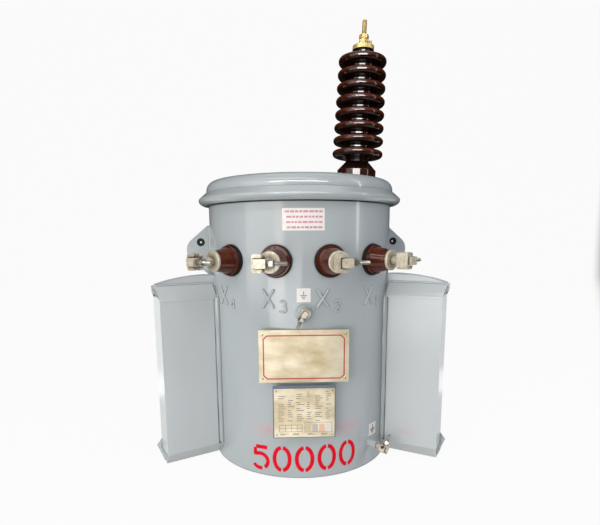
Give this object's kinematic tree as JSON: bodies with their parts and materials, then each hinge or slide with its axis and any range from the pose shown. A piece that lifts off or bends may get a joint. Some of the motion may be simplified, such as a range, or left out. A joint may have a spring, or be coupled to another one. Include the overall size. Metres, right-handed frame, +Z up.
{
  "type": "single-phase distribution transformer",
  "caption": "Round oil-filled transformer tank with a banded lid, a ribbed high-voltage bushing, a row of low-voltage bushings, flat side radiators and pole hangers.",
  "frame": {"origin": "on the tank axis, at the underside of the tank floor", "axes": "+Z up along the tank axis; the front with the plates faces -Y; the high-voltage bushing stands towards +X"},
  "size_m": [0.7504, 0.6335, 1.1193],
  "materials": {
    "tank_paint": "gloss",
    "brown_porcelain": "gloss",
    "black_rubber": "matte",
    "tinned_bronze": "satin",
    "bright_brass": "satin",
    "plate_metal": "satin"
  },
  "bodies": {
    "root": {"tank_wall": "tank_paint", "tank_floor": "tank_paint", "lid": "tank_paint", "rim_band": "tank_paint", "radiator_left": "tank_paint", "radiator_right": "tank_paint", "lifting_lug_left": "tank_paint", "lifting_lug_right": "tank_paint", "name_plate_bracket": "tank_paint", "rating_plate_bracket": "tank_paint", "upper_pole_hanger": "tank_paint", "lower_pole_hanger": "tank_paint", "low_earth_boss": "tank_paint", "front_earth_pad": "tank_paint", "hv_bushing": "brown_porcelain", "lv_bushing_1": "brown_porcelain", "lv_bushing_2": "brown_porcelain", "lv_bushing_3": "brown_porcelain", "lv_bushing_4": "brown_porcelain", "hv_base_gasket": "black_rubber", "hv_cap_gasket": "black_rubber", "lv_gasket_1": "black_rubber", "lv_gasket_2": "black_rubber", "lv_gasket_3": "black_rubber", "lv_gasket_4": "black_rubber", "lv_clamp_1": "tinned_bronze", "lv_clamp_2": "tinned_bronze", "lv_clamp_3": "tinned_bronze", "lv_clamp_4": "tinned_bronze", "lv_clamp_bolt_1": "tinned_bronze", "lv_clamp_bolt_2": "tinned_bronze", "lv_clamp_bolt_3": "tinned_bronze", "lv_clamp_bolt_4": "tinned_bronze", "front_earth_clamp": "tinned_bronze", "front_earth_bolt": "tinned_bronze", "low_earth_clamp": "tinned_bronze", "low_earth_bolt": "tinned_bronze", "hv_cap": "bright_brass", "hv_nut": "bright_brass", "hv_stud": "bright_brass", "name_plate": "plate_metal", "rating_plate": "plate_metal"}
  },
  "joints": []
}
